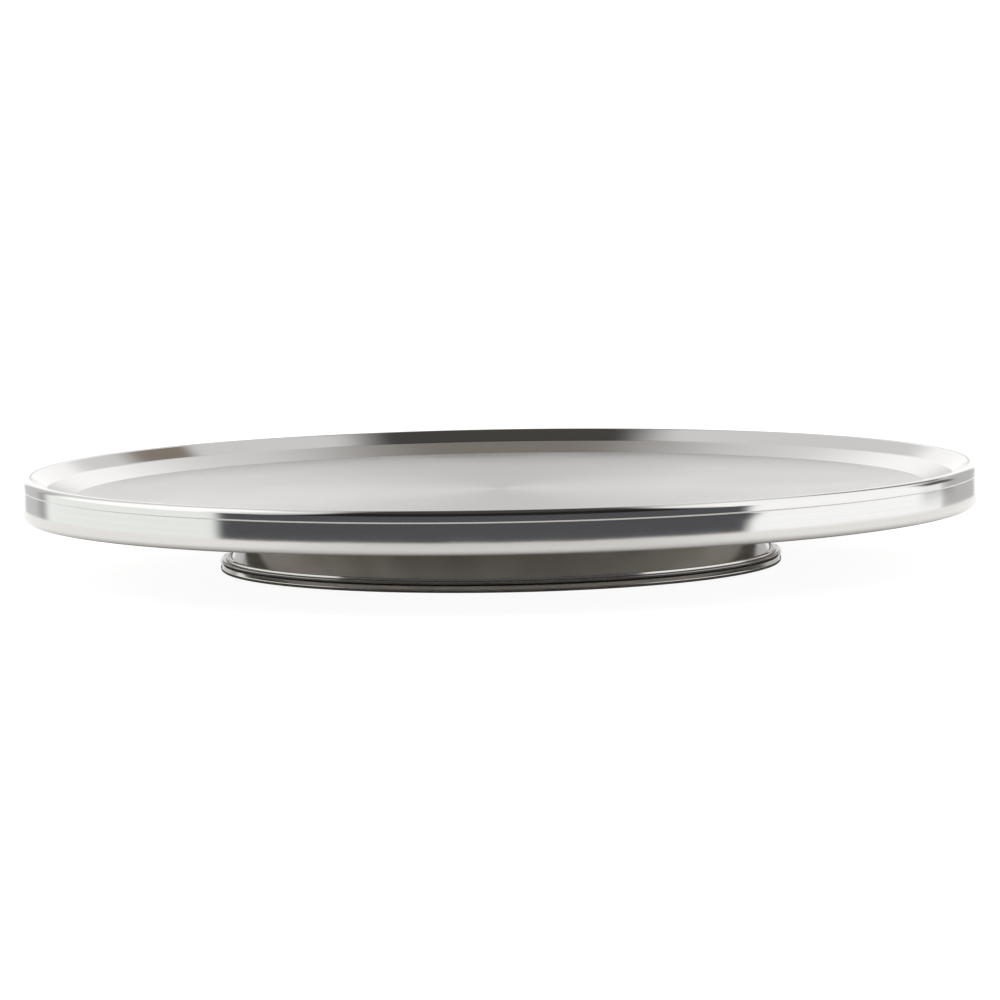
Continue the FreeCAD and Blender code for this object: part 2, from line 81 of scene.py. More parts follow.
def linear(hex_colour):
    """A linear colour from its sRGB hex value."""
    channels = [int(hex_colour[i:i + 2], 16) / 255 for i in (1, 3, 5)]
    linear_channels = [c / 12.92 if c <= 0.04045 else ((c + 0.055) / 1.055) ** 2.4 for c in channels]
    return (*linear_channels, 1.0)


def add(tree, kind, inputs=None, **settings):
    """A new node. Its settings are its own properties, and each input is given a value or another node's
    output."""
    node = tree.nodes.new(kind)
    for name, value in settings.items():
        setattr(node, name, value)
    for name, value in (inputs or {}).items():
        if isinstance(value, bpy.types.NodeSocket):
            tree.links.new(value, node.inputs[name])
        else:
            node.inputs[name].default_value = value
    return node


crest = Vector((0, 0, CREST_HEIGHT * MM))
towards_camera = Vector((0, -math.cos(CAMERA_ELEVATION), math.sin(CAMERA_ELEVATION)))
camera_place = crest + CAMERA_DISTANCE * MM * towards_camera
camera_up = Vector((0, math.sin(CAMERA_ELEVATION), math.cos(CAMERA_ELEVATION)))
bpy.ops.object.camera_add(location=camera_place)
camera = bpy.context.object
camera.data.lens = CAMERA_LENS
camera.data.clip_end = CAMERA_REACH * MM
camera.rotation_mode = "QUATERNION"
look = crest - AIM_BELOW_CREST * MM * camera_up - camera_place
camera.rotation_quaternion = look.to_track_quat("-Z", "Y") @ Quaternion((0, 0, 1), -CAMERA_ROLL)
scene.camera = camera

# What the camera sees as the floor. From below it is clear, so that the underside can be looked at.
bpy.ops.mesh.primitive_circle_add(
    vertices=ROUND_SIDES, radius=FLOOR_RADIUS * MM, fill_type="NGON", location=(0, 0, 0))
floor = bpy.context.object
floor.name = "floor"
floor_paint = bpy.data.materials.new("pale floor")
floor_paint.use_nodes = True
tree = floor_paint.node_tree
tree.nodes.clear()
glow = add(tree, "ShaderNodeEmission", {"Color": linear("#FFFFFF"), "Strength": FLOOR_GLOW})
matt = add(tree, "ShaderNodeBsdfDiffuse", {"Color": linear(FLOOR_GREY)})
lit = add(tree, "ShaderNodeAddShader", {0: glow.outputs[0], 1: matt.outputs[0]})
clear = add(tree, "ShaderNodeBsdfTransparent")
side = add(tree, "ShaderNodeNewGeometry").outputs["Backfacing"]
one_sided = add(tree, "ShaderNodeMixShader", {0: side, 1: lit.outputs[0], 2: clear.outputs[0]})
add(tree, "ShaderNodeOutputMaterial", {0: one_sided.outputs[0]})
floor.data.materials.append(floor_paint)
for ray in ("diffuse", "glossy", "transmission", "volume_scatter", "shadow"):
    setattr(floor, "visible_" + ray, False)

# What the metal sees as the floor: a small round white table, so that past its edge the tent shows. Its
# glow is painted light: it glows brighter towards its sides, standing in for the light of the tent's bright
# walls, and not at all round the stand's foot, which is a painted shadow. A glowing disc right under the
# stand, no lamp, lights the stand's underside.
bpy.ops.mesh.primitive_circle_add(
    vertices=ROUND_SIDES, radius=TABLE_RADIUS * MM, fill_type="NGON", location=(0, 0, -TABLE_DROP * MM))
table = bpy.context.object
table.name = "table"
table_paint = bpy.data.materials.new("warm white table")
table_paint.use_nodes = True
tree = table_paint.node_tree
tree.nodes.clear()
place = add(tree, "ShaderNodeTexCoord").outputs["Object"]
axes = add(tree, "ShaderNodeSeparateXYZ", {0: place})
aside = add(tree, "ShaderNodeMath", {0: axes.outputs["X"]}, operation="ABSOLUTE").outputs[0]
# Painted light: the glow rises towards the table's sides, standing in for the tent's bright walls.
painted_side_glow = add(tree, "ShaderNodeMapRange", {
    "Value": aside,
    "From Min": TABLE_SIDES_FROM * MM,
    "From Max": TABLE_SIDES_TO * MM,
    "To Min": TABLE_MIDDLE_GLOW,
    "To Max": TABLE_SIDE_GLOW,
}, interpolation_type="SMOOTHSTEP").outputs[0]
outward = add(tree, "ShaderNodeVectorMath", {0: place}, operation="LENGTH").outputs["Value"]
# Painted shadow: no glow round the stand's foot.
clear_of_painted_shadow = add(tree, "ShaderNodeMapRange", {
    "Value": outward,
    "From Min": TABLE_PAINTED_SHADOW_RADIUS * MM,
    "From Max": TABLE_PAINTED_SHADOW_EDGE * MM,
}, interpolation_type="SMOOTHSTEP").outputs[0]
# Painted light: a disc under the stand glows to light the stand's underside.
glowing_disc_under_stand = add(tree, "ShaderNodeMapRange", {
    "Value": outward,
    "From Min": TABLE_DISC_RADIUS * MM,
    "From Max": (TABLE_DISC_RADIUS + TABLE_DISC_BLUR) * MM,
    "To Min": TABLE_DISC_GLOW,
    "To Max": 0.0,
}, interpolation_type="SMOOTHSTEP").outputs[0]
# The table's glow: painted light at the sides, a painted shadow round the stand, a glowing disc under it.
glow_level = add(tree, "ShaderNodeMath", {
    0: painted_side_glow,
    1: clear_of_painted_shadow,
    2: glowing_disc_under_stand,
}, operation="MULTIPLY_ADD").outputs[0]
glow = add(tree, "ShaderNodeEmission", {"Color": linear(TABLE_GLOW_TINT), "Strength": glow_level})
matt = add(tree, "ShaderNodeBsdfDiffuse", {"Color": linear(TABLE_WARM_WHITE)})
lit = add(tree, "ShaderNodeAddShader", {0: glow.outputs[0], 1: matt.outputs[0]})
add(tree, "ShaderNodeOutputMaterial", {0: lit.outputs[0]})
table.data.materials.append(table_paint)
table.visible_camera = False

# One broad soft lamp overhead lights the table round the stand. The metal doesn't mirror it.
bpy.ops.object.light_add(type="AREA", location=(0, 0, LAMP_HEIGHT * MM))
lamp = bpy.context.object
lamp.name = "overhead lamp"
lamp.data.size = LAMP_SIZE * MM
lamp.data.energy = LAMP_WATTS
lamp.visible_glossy = False
lamp.visible_camera = False

# The tent's light, by direction. Azimuth is measured from the camera's side, to the right; over_top is the
# angle over the top from the back horizon.
world = bpy.data.worlds.new("studio")
scene.world = world
world.use_nodes = True
tree = world.node_tree
tree.nodes.clear()
direction = add(tree, "ShaderNodeTexCoord").outputs["Generated"]
axes = add(tree, "ShaderNodeSeparateXYZ", {0: direction})
to_back = add(tree, "ShaderNodeMath", {0: axes.outputs["Y"], 1: -1.0}, operation="MULTIPLY").outputs[0]
azimuth = add(tree, "ShaderNodeMath", {0: axes.outputs["X"], 1: to_back}, operation="ARCTAN2").outputs[0]
azimuth = add(tree, "ShaderNodeMath", {0: azimuth}, operation="DEGREES").outputs[0]
elevation = add(tree, "ShaderNodeMath", {0: axes.outputs["Z"]}, operation="ARCSINE").outputs[0]
elevation = add(tree, "ShaderNodeMath", {0: elevation}, operation="DEGREES").outputs[0]


def radiance(level, hex_tint):
    """A light's colour from its brightness and its tint."""
    tint = linear(hex_tint)
    return (*(level * channel for channel in tint[:3]), 1)


def lit_patch(below, level, hex_tint, middle, half_width, low, high, side_blur, top_blur):
    """The light so far, with a patch of another brightness and tint over it. The patch runs half_width to
    each side of its middle azimuth, and from a low to a high elevation. These and its soft edges are in
    degrees."""
    off = add(tree, "ShaderNodeMath", {0: azimuth, 1: middle}, operation="SUBTRACT").outputs[0]
    off = add(tree, "ShaderNodeMath", {0: off, 1: 180.0, 2: -180.0}, operation="WRAP").outputs[0]
    off = add(tree, "ShaderNodeMath", {0: off}, operation="ABSOLUTE").outputs[0]
    across = add(tree, "ShaderNodeMapRange", {
        "Value": off,
        "From Min": half_width + side_blur,
        "From Max": half_width - side_blur,
    }, interpolation_type="SMOOTHSTEP").outputs[0]
    above = add(tree, "ShaderNodeMapRange", {
        "Value": elevation,
        "From Min": low - top_blur,
        "From Max": low + top_blur,
    }, interpolation_type="SMOOTHSTEP").outputs[0]
    under = add(tree, "ShaderNodeMapRange", {
        "Value": elevation,
        "From Min": high + top_blur,
        "From Max": high - top_blur,
    }, interpolation_type="SMOOTHSTEP").outputs[0]
    inside = add(tree, "ShaderNodeMath", {0: above, 1: under}, operation="MULTIPLY").outputs[0]
    inside = add(tree, "ShaderNodeMath", {0: inside, 1: across}, operation="MULTIPLY").outputs[0]
    patch = radiance(level, hex_tint)
    return add(tree, "ShaderNodeMix", {0: inside, 6: below, 7: patch}, data_type="RGBA").outputs[2]


# The tent's white cloth: bright walls left and right, shaded corners behind them, and a lit sheet at the
# back. A warm gap high in the right corner gives the rim a tan patch.
bright = radiance(0.80, "#FEFEFF")
bright = lit_patch(bright, 1.12, "#FAFFFC", -104, 38, -60, 60, 2.0, 8)
bright = lit_patch(bright, 1.40, "#FFFFFF", -104, 28, 8, 60, 2.0, 5)
bright = lit_patch(bright, 1.28, "#FDFEFF", 94, 38, -60, 66, 2.0, 8)
bright = lit_patch(bright, 0.66, "#FFFFFF", -154, 12, -60, 20, 6.0, 6)
bright = lit_patch(bright, 0.58, "#FFFFFF", 149, 14, -60, 20, 6.0, 6)
bright = lit_patch(bright, 0.45, "#FFFFFF", -143, 3, -60, 20, 3.5, 6)
bright = lit_patch(bright, 0.13, "#FFFFFF", 130, 9, -2, 20, 4.0, 6)
bright = lit_patch(bright, 0.27, "#FFEFDC", 148, 7, 22, 46.5, 1.5, 1.0)
bright = lit_patch(bright, 1.16, "#FFFFFF", 180, 17, -90, 28, 3.0, 8)

# The dark room past the slot, a little lighter overhead and behind the stand.
room = radiance(0.024, "#FFF6EC")
room = lit_patch(room, 0.075, "#FFF8F2", 0, 200, 64, 120, 10, 8)
room = lit_patch(room, 0.25, "#FFF6EC", 180, 90, -90, 52, 10, 8)

# A dark slot runs over the tent. It is narrow at the back and opens wide towards the camera, and gives the
# polished skirt its dark middle and the well its fan. Its half width, shift to the left and blur are in
# degrees, the first two at the camera's end.
SLOT_CURVE = 1.8
SLOT_HALF_WIDTH = 67.0
SLOT_SHIFT = 3.0
SLOT_BLUR = 3.5
up = add(tree, "ShaderNodeMath", {0: axes.outputs["Z"]}, operation="ABSOLUTE").outputs[0]
over_top = add(tree, "ShaderNodeMath", {0: up, 1: axes.outputs["Y"]}, operation="ARCTAN2").outputs[0]
share = add(tree, "ShaderNodeMath", {0: over_top, 1: math.pi}, operation="DIVIDE").outputs[0]
share = add(tree, "ShaderNodeMath", {0: share, 1: SLOT_CURVE}, operation="POWER").outputs[0]
sideways = add(tree, "ShaderNodeMath", {0: axes.outputs["X"]}, operation="ARCSINE").outputs[0]
sideways = add(tree, "ShaderNodeMath", {0: sideways}, operation="DEGREES").outputs[0]
shifted = add(tree, "ShaderNodeMath", {
    0: share,
    1: SLOT_SHIFT,
    2: sideways,
}, operation="MULTIPLY_ADD").outputs[0]
shifted = add(tree, "ShaderNodeMath", {0: shifted}, operation="ABSOLUTE").outputs[0]
slot_half = add(tree, "ShaderNodeMath", {0: share, 1: SLOT_HALF_WIDTH}, operation="MULTIPLY").outputs[0]
past_slot = add(tree, "ShaderNodeMath", {0: shifted, 1: slot_half}, operation="SUBTRACT").outputs[0]
outside_slot = add(tree, "ShaderNodeMapRange", {
    "Value": past_slot,
    "From Min": -SLOT_BLUR,
    "From Max": SLOT_BLUR,
}, interpolation_type="SMOOTHSTEP").outputs[0]
studio = add(tree, "ShaderNodeMix", {0: outside_slot, 6: room, 7: bright}, data_type="RGBA").outputs[2]

# A low grey screen on the camera's side shows in the skirt's middle. The camera itself sees only white behind
# the stand.
studio = lit_patch(studio, 0.110, "#F4F7FF", -5, 65.5, -90, 11, 2.5, 4)
seen_by_camera = add(tree, "ShaderNodeLightPath").outputs["Is Camera Ray"]
shown = add(tree, "ShaderNodeMix", {
    0: seen_by_camera,
    6: studio,
    7: linear("#FFFFFF"),
}, data_type="RGBA").outputs[2]
background = add(tree, "ShaderNodeBackground", {"Color": shown, "Strength": 1.0})
add(tree, "ShaderNodeOutputWorld", {0: background.outputs[0]})


# ---------------------------------------------------------------- base shell
# An inverted dish drawn from 0.8 mm stainless sheet: flat deck, drawn wall, and a flange with one fine
# pressed ridge and a rolled bead round its edge. The lower race is riveted to its deck, and the steel is left
# as the press leaves it.
SPUN_SIDES = 256
BEND_STEP = math.radians(9)
SMOOTH_UNDER = math.radians(32)
WELD_WITHIN = 1e-7
SAME_PLACE = 1e-6
LARGE_FACES_LEAD = 100
BASE_SHEET = 0.8
DECK_TOP = 16.0
DECK_CORNER_BEND = 3.0
DECK_HOLE_RADIUS = 6.03
WALL_TOP_RADIUS = 82.2
WALL_FOOT_RADIUS = 86.4
WALL_FOOT_BEND = 0.9
FLANGE_TOP = 4.5
RIDGE_INNER = 87.2
RIDGE_OUTER = 88.29
RIDGE_SHOULDER = 88.21
RIDGE_TOP = 5.25
RIDGE_BEND = 0.08
BEAD_INNER = 88.8
BEAD_OUTER = 89.75
BEAD_TOP = 4.70
BEAD_BOTTOM = 3.75
BEAD_BEND = 0.48
BEAD_START_RUN = 0.15
BEAD_START_BEND = 0.2
BEAD_FOOT = (89.25, 3.7)


def along_bend(before, corner, after):
    """The points of an outline's bend at a corner, on a true arc of the corner's own radius."""
    length_in = math.hypot(corner[0] - before[0], corner[1] - before[1])
    length_out = math.hypot(after[0] - corner[0], after[1] - corner[1])
    ahead = ((corner[0] - before[0]) / length_in, (corner[1] - before[1]) / length_in)
    leaving = ((after[0] - corner[0]) / length_out, (after[1] - corner[1]) / length_out)
    cross = ahead[0] * leaving[1] - ahead[1] * leaving[0]
    turn = math.atan2(cross, ahead[0] * leaving[0] + ahead[1] * leaving[1])
    bend = corner[2]
    if bend == 0 or turn == 0:
        return [corner[:2]]
    side = math.copysign(1, turn)
    run_up = bend * math.tan(abs(turn) / 2)
    start = (corner[0] - ahead[0] * run_up, corner[1] - ahead[1] * run_up)
    centre = (start[0] - ahead[1] * side * bend, start[1] + ahead[0] * side * bend)
    steps = max(2, round(abs(turn) / BEND_STEP))
    points = []
    for step in range(steps + 1):
        angle = turn * step / steps
        arm = (start[0] - centre[0], start[1] - centre[1])
        points.append((
            centre[0] + arm[0] * math.cos(angle) - arm[1] * math.sin(angle),
            centre[1] + arm[0] * math.sin(angle) + arm[1] * math.cos(angle),
        ))
    return points


def spun(name, corners, sides=SPUN_SIDES):
    """A round piece from its half section. Each corner is (radius, height, bend radius). The section is drawn
    ring by ring, and closes on itself, or at the axis if its ends lie there. Its faces point outwards."""
    on_axis = corners[0][0] == 0
    rings = []
    for index, corner in enumerate(corners):
        if corner[0] > 0:
            rings += along_bend(corners[index - 1], corner, corners[(index + 1) % len(corners)])
    bpy.ops.object.select_all(action="DESELECT")
    bpy.ops.mesh.primitive_circle_add(vertices=sides, radius=rings[0][0] * MM, location=(0, 0, 0))
    piece = bpy.context.object
    piece.name = name
    piece.data.name = name
    bpy.ops.object.mode_set(mode="EDIT")
    bpy.ops.transform.translate(value=(0, 0, rings[0][1] * MM))
    if on_axis:
        select_ring(piece, rings[0])
        extrude_up(corners[0][1] - rings[0][1])
        bpy.ops.mesh.merge(type="CENTER")
        select_ring(piece, rings[0])
    path = rings[1:] if on_axis else rings[1:] + rings[:1]
    last = rings[0]
    for ring in path:
        extrude_up(ring[1] - last[1])
        grow = ring[0] / last[0]
        bpy.ops.transform.resize(value=(grow, grow, 1), center_override=(0, 0, ring[1] * MM))
        last = ring
    if on_axis:
        extrude_up(corners[-1][1] - last[1])
        bpy.ops.mesh.merge(type="CENTER")
    bpy.ops.mesh.select_all(action="SELECT")
    bpy.ops.mesh.remove_doubles(threshold=WELD_WITHIN)
    bpy.ops.mesh.normals_make_consistent(inside=False)
    if bmesh.from_edit_mesh(piece.data).calc_volume(signed=True) < 0:
        bpy.ops.mesh.flip_normals()
    bpy.ops.object.mode_set(mode="OBJECT")
    bpy.ops.object.shade_smooth_by_angle(angle=SMOOTH_UNDER)
    weighted = piece.modifiers.new("even shading", "WEIGHTED_NORMAL")
    weighted.keep_sharp = True
    weighted.weight = LARGE_FACES_LEAD
    bpy.ops.object.modifier_apply(modifier=weighted.name)
    return piece


def extrude_up(height):
    """Extrude the selected ring by a height in millimetres. The new ring stays selected."""
    bpy.ops.mesh.extrude_region_move(TRANSFORM_OT_translate={"value": (0, 0, height * MM)})


def select_ring(piece, ring):
    """Select only the ring of edges at a radius and a height, in millimetres."""
    mesh = bmesh.from_edit_mesh(piece.data)
    bpy.ops.mesh.select_all(action="DESELECT")
    on_ring = {
        vertex for vertex in mesh.verts
        if abs(vertex.co.xy.length - ring[0] * MM) < SAME_PLACE
        and abs(vertex.co.z - ring[1] * MM) < SAME_PLACE
    }
    for edge in mesh.edges:
        if edge.verts[0] in on_ring and edge.verts[1] in on_ring:
            edge.select_set(True)
    bmesh.update_edit_mesh(piece.data)


def other_skin(skin, thickness):
    """The corners of a sheet's second skin, thickness to the right of the first, listed backwards. Bends lie
    on the same centres. A minus thickness puts it on the left."""
    shifted_lines = []
    for start, end in zip(skin, skin[1:]):
        length = math.hypot(end[0] - start[0], end[1] - start[1])
        across = ((end[1] - start[1]) / length * thickness, -(end[0] - start[0]) / length * thickness)
        shifted_lines.append((start[0] + across[0], start[1] + across[1],
                              (end[0] - start[0]) / length, (end[1] - start[1]) / length, length))
    first = shifted_lines[0]
    last = shifted_lines[-1]
    corners = [(first[0], first[1], 0)]
    for line, following, corner in zip(shifted_lines, shifted_lines[1:], skin[1:]):
        cross = line[2] * following[3] - line[3] * following[2]
        along = ((following[0] - line[0]) * following[3] - (following[1] - line[1]) * following[2]) / cross
        bend = corner[2]
        if bend:
            bend = bend - thickness if cross < 0 else bend + thickness
        corners.append((line[0] + along * line[2], line[1] + along * line[3], max(bend, 0)))
    corners.append((last[0] + last[4] * last[2], last[1] + last[4] * last[3], 0))
    return corners[::-1]


dish_path = [
    (DECK_HOLE_RADIUS, DECK_TOP, 0),
    (WALL_TOP_RADIUS, DECK_TOP, DECK_CORNER_BEND),
    (WALL_FOOT_RADIUS, FLANGE_TOP, WALL_FOOT_BEND),
    (RIDGE_INNER, FLANGE_TOP, 0),
]
shell = spun("base_shell_dish", dish_path + [
    (RIDGE_INNER, RIDGE_TOP, RIDGE_BEND),
    (RIDGE_SHOULDER, RIDGE_TOP, RIDGE_BEND),
    (RIDGE_OUTER, FLANGE_TOP, 0),
    (BEAD_INNER, FLANGE_TOP, 0),
    (BEAD_INNER + BEAD_START_RUN, BEAD_TOP, BEAD_START_BEND),
    (BEAD_OUTER, BEAD_TOP, BEAD_BEND),
    (BEAD_OUTER, BEAD_BOTTOM, BEAD_BEND),
    (BEAD_FOOT[0], BEAD_BOTTOM, 0),
    (*BEAD_FOOT, 0),
] + other_skin(dish_path, BASE_SHEET))


# Most of a noise pattern lies between these two levels.
NOISE_LOW = 0.3
NOISE_HIGH = 0.7
GLOSS_SPREAD = 0.12


def stainless(name, base_hex, streak_hex, roughness, anisotropic, streak_mm, line_depth, wave_mm, wave_depth):
    """Spun, drawn or turned steel. Its tool lines run round the axis, and slow waves bend its reflections
    and cloud its gloss. Real lines are about 0.1 mm apart, and they are drawn coarser, so that they show.
    Depths are in millimetres."""
    paint = bpy.data.materials.new(name)
    paint.use_nodes = True
    tree = paint.node_tree
    tree.nodes.clear()
    place = add(tree, "ShaderNodeTexCoord").outputs["Object"]
    axes = add(tree, "ShaderNodeSeparateXYZ", {0: place})
    flat = add(tree, "ShaderNodeCombineXYZ", {0: axes.outputs["X"], 1: axes.outputs["Y"]})
    radius = add(tree, "ShaderNodeVectorMath", {0: flat.outputs[0]}, operation="LENGTH").outputs["Value"]
    around = add(tree, "ShaderNodeVectorMath", {
        0: flat.outputs[0],
    }, operation="NORMALIZE").outputs["Vector"]
    round_axes = add(tree, "ShaderNodeSeparateXYZ", {0: around})
    level = add(tree, "ShaderNodeMath", {0: radius, 1: axes.outputs["Z"]}, operation="ADD").outputs[0]
    level = add(tree, "ShaderNodeMath", {
        0: level,
        1: 1 / (streak_mm * MM),
    }, operation="MULTIPLY").outputs[0]
    streak_place = add(tree, "ShaderNodeCombineXYZ", {
        0: level,
        1: round_axes.outputs["X"],
        2: round_axes.outputs["Y"],
    })
    streak = add(tree, "ShaderNodeTexNoise", {
        "Vector": streak_place.outputs[0],
        "Scale": 1.0,
        "Detail": 3.0,
        "Roughness": 0.6,
    }).outputs["Fac"]
    wave = add(tree, "ShaderNodeTexNoise", {
        "Vector": place,
        "Scale": 1 / (wave_mm * MM),
        "Detail": 1.0,
    }).outputs["Fac"]
    colour = add(tree, "ShaderNodeMix", {
        0: streak,
        6: linear(base_hex),
        7: linear(streak_hex),
    }, data_type="RGBA")
    rough = add(tree, "ShaderNodeMapRange", {
        "Value": streak,
        "From Min": NOISE_LOW,
        "From Max": NOISE_HIGH,
        "To Min": roughness * (1 - GLOSS_SPREAD),
        "To Max": roughness * (1 + GLOSS_SPREAD),
    }).outputs[0]
    clouded = add(tree, "ShaderNodeMapRange", {
        "Value": wave,
        "From Min": NOISE_LOW,
        "From Max": NOISE_HIGH,
        "To Min": 1 - GLOSS_SPREAD,
        "To Max": 1 + GLOSS_SPREAD,
    }).outputs[0]
    rough = add(tree, "ShaderNodeMath", {0: rough, 1: clouded}, operation="MULTIPLY")
    waved = add(tree, "ShaderNodeBump", {"Height": wave, "Strength": 1.0, "Distance": wave_depth * MM})
    lined = add(tree, "ShaderNodeBump", {
        "Height": streak,
        "Strength": 1.0,
        "Distance": line_depth * MM,
        "Normal": waved.outputs[0],
    })
    tangent = add(tree, "ShaderNodeTangent", direction_type="RADIAL", axis="Z")
    steel = add(tree, "ShaderNodeBsdfPrincipled", {
        "Base Color": colour.outputs[2],
        "Metallic": 1.0,
        "Roughness": rough.outputs[0],
        "Anisotropic": anisotropic,
        "Anisotropic Rotation": 0.25,
        "Normal": lined.outputs[0],
        "Tangent": tangent.outputs[0],
    })
    add(tree, "ShaderNodeOutputMaterial", {0: steel.outputs[0]})
    return paint


# A soft mirror, a little warm, with fine lines round it and slow ripples from drawing.
drawn_stainless = stainless(
    "bright drawn stainless steel", "#CECBC6", "#D9D7D3", roughness=0.13, anisotropic=0.2,
    streak_mm=0.5, line_depth=0.003, wave_mm=30, wave_depth=0.05)
shell.data.materials.append(drawn_stainless)
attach(shell, "base")
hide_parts("base_shell")


# ---------------------------------------------------------------- deck stiffener, races, carrier and posts
# Zinc-plated steel. The stiffener and the carrier are flat blanks that back the thin sheet, the races are
# pressed rings with a ball groove, and the posts are turned.
CLOUD_GLOSS_SPREAD = 0.2


def soft_metal(name, base_hex, cloud_hex, roughness, cloud_mm, grain_mm, grain_depth):
    """A plated or bare metal with clouds in its colour and gloss and a fine even grain. Its depth is in
    millimetres."""
    paint = bpy.data.materials.new(name)
    paint.use_nodes = True
    tree = paint.node_tree
    tree.nodes.clear()
    place = add(tree, "ShaderNodeTexCoord").outputs["Object"]
    cloud = add(tree, "ShaderNodeTexNoise", {
        "Vector": place,
        "Scale": 1 / (cloud_mm * MM),
        "Detail": 4.0,
        "Roughness": 0.6,
    }).outputs["Fac"]
    grain = add(tree, "ShaderNodeTexNoise", {
        "Vector": place,
        "Scale": 1 / (grain_mm * MM),
        "Detail": 2.0,
    }).outputs["Fac"]
    cloud = add(tree, "ShaderNodeMapRange", {
        "Value": cloud,
        "From Min": NOISE_LOW,
        "From Max": NOISE_HIGH,
    }).outputs[0]
    colour = add(tree, "ShaderNodeMix", {
        0: cloud,
        6: linear(base_hex),
        7: linear(cloud_hex),
    }, data_type="RGBA")
    rough = add(tree, "ShaderNodeMapRange", {
        "Value": cloud,
        "To Min": roughness * (1 - CLOUD_GLOSS_SPREAD),
        "To Max": roughness * (1 + CLOUD_GLOSS_SPREAD),
    })
    grained = add(tree, "ShaderNodeBump", {"Height": grain, "Strength": 1.0, "Distance": grain_depth * MM})
    metal = add(tree, "ShaderNodeBsdfPrincipled", {
        "Base Color": colour.outputs[2],
        "Metallic": 1.0,
        "Roughness": rough.outputs[0],
        "Normal": grained.outputs[0],
    })
    add(tree, "ShaderNodeOutputMaterial", {0: metal.outputs[0]})
    return paint


def repaint(paint, *names):
    """Give these CAD nodes, whose shapes stay, a better material."""
    for name in names:
        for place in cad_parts[name].material_slots:
            place.material = paint


# The plating is bluish, in faint clouds, with fine marks from rolling and handling.
zinc_plate = soft_metal(
    "zinc-plated steel", "#AEB2B8", "#C6C8CA", roughness=0.34,
    cloud_mm=9.0, grain_mm=0.35, grain_depth=0.004)
repaint(zinc_plate, "deck_stiffener", "lower_race", "upper_race", "carrier_disc", "cover_posts")
repaint(zinc_plate, "spindle_washer", "lock_nut")


# ---------------------------------------------------------------- rivets and screws
# Plain steel rivets hold the races: they are set flush in the grooved faces, and the lower ones are headed
# below. Pan-head screws with a cross recess hold the bottom pan to its posts.

# The steel is grey and satin, with small dull marks where the tools pressed on it.
rivet_steel = soft_metal(
    "satin steel of rivets and screws", "#9A9996", "#B4B3AF", roughness=0.30,
    cloud_mm=2.0, grain_mm=0.2, grain_depth=0.003)
repaint(rivet_steel, "upper_race_rivets", "lower_race_rivets", "cover_screws")


# ---------------------------------------------------------------- ball ring
# Hard polished steel balls, each in its own pocket of a moulded nylon cage. The cage keeps them apart between
# the two races, and nothing else holds it.

# The balls are mirror bright, with faint running marks.
ball_steel = soft_metal(
    "polished ball steel", "#BDBEC0", "#C9CACC", roughness=0.08,
    cloud_mm=1.2, grain_mm=0.1, grain_depth=0.0004)
repaint(ball_steel, "bearing_balls")

MOTTLE_LOW = 0.35
MOTTLE_HIGH = 0.75
MOTTLE_GLOSS_SPREAD = 0.1


def moulded(name, base_hex, mottle_hex, roughness, mottle_mm, grain_mm, grain_depth):
    """A moulded plastic or rubber with a faint mottle and a fine skin. Its depth is in millimetres."""
    paint = bpy.data.materials.new(name)
    paint.use_nodes = True
    tree = paint.node_tree
    tree.nodes.clear()
    place = add(tree, "ShaderNodeTexCoord").outputs["Object"]
    mottle = add(tree, "ShaderNodeTexNoise", {
        "Vector": place,
        "Scale": 1 / (mottle_mm * MM),
        "Detail": 4.0,
        "Roughness": 0.65,
    }).outputs["Fac"]
    grain = add(tree, "ShaderNodeTexNoise", {
        "Vector": place,
        "Scale": 1 / (grain_mm * MM),
        "Detail": 2.0,
    }).outputs["Fac"]
    mottle = add(tree, "ShaderNodeMapRange", {
        "Value": mottle,
        "From Min": MOTTLE_LOW,
        "From Max": MOTTLE_HIGH,
    }).outputs[0]
    colour = add(tree, "ShaderNodeMix", {
        0: mottle,
        6: linear(base_hex),
        7: linear(mottle_hex),
    }, data_type="RGBA")
    rough = add(tree, "ShaderNodeMapRange", {
        "Value": mottle,
        "To Min": roughness * (1 - MOTTLE_GLOSS_SPREAD),
        "To Max": roughness * (1 + MOTTLE_GLOSS_SPREAD),
    })
    grained = add(tree, "ShaderNodeBump", {"Height": grain, "Strength": 1.0, "Distance": grain_depth * MM})
    skin = add(tree, "ShaderNodeBsdfPrincipled", {
        "Base Color": colour.outputs[2],
        "Roughness": rough.outputs[0],
        "Normal": grained.outputs[0],
    })
    add(tree, "ShaderNodeOutputMaterial", {0: skin.outputs[0]})
    return paint


# Undyed nylon is milky white, with a soft moulded skin.
nylon = moulded(
    "natural nylon", "#E4E0D2", "#D8D3C2", roughness=0.42,
    mottle_mm=6.0, grain_mm=0.3, grain_depth=0.004)
repaint(nylon, "ball_cage", "thrust_washer", "lock_nut_insert")


# ---------------------------------------------------------------- centre spindle, bush and spring
# The spindle is turned from bright bar and staked in the carrier disc. It runs in a bush of sintered bronze,
# and a disc spring of tempered steel below the bush takes up the play.

# Turned steel shows fine rings from the tool.
turned_steel = stainless(
    "turned bright steel", "#B9B8B5", "#C8C7C4", roughness=0.22, anisotropic=0.5,
    streak_mm=0.15, line_depth=0.002, wave_mm=8, wave_depth=0.0)
repaint(turned_steel, "spindle")

# Sintered bronze is brown and dull, with fine pores that hold oil.
sintered_bronze = soft_metal(
    "sintered bronze", "#A67C48", "#B98F5A", roughness=0.40,
    cloud_mm=3.0, grain_mm=0.12, grain_depth=0.010)
repaint(sintered_bronze, "centre_bush")

# Tempering leaves spring steel dark, with a faint brown cloud.
spring_steel = soft_metal(
    "dark tempered spring steel", "#4C4A4B", "#5F5A55", roughness=0.32,
    cloud_mm=2.5, grain_mm=0.15, grain_depth=0.003)
repaint(spring_steel, "disc_spring")


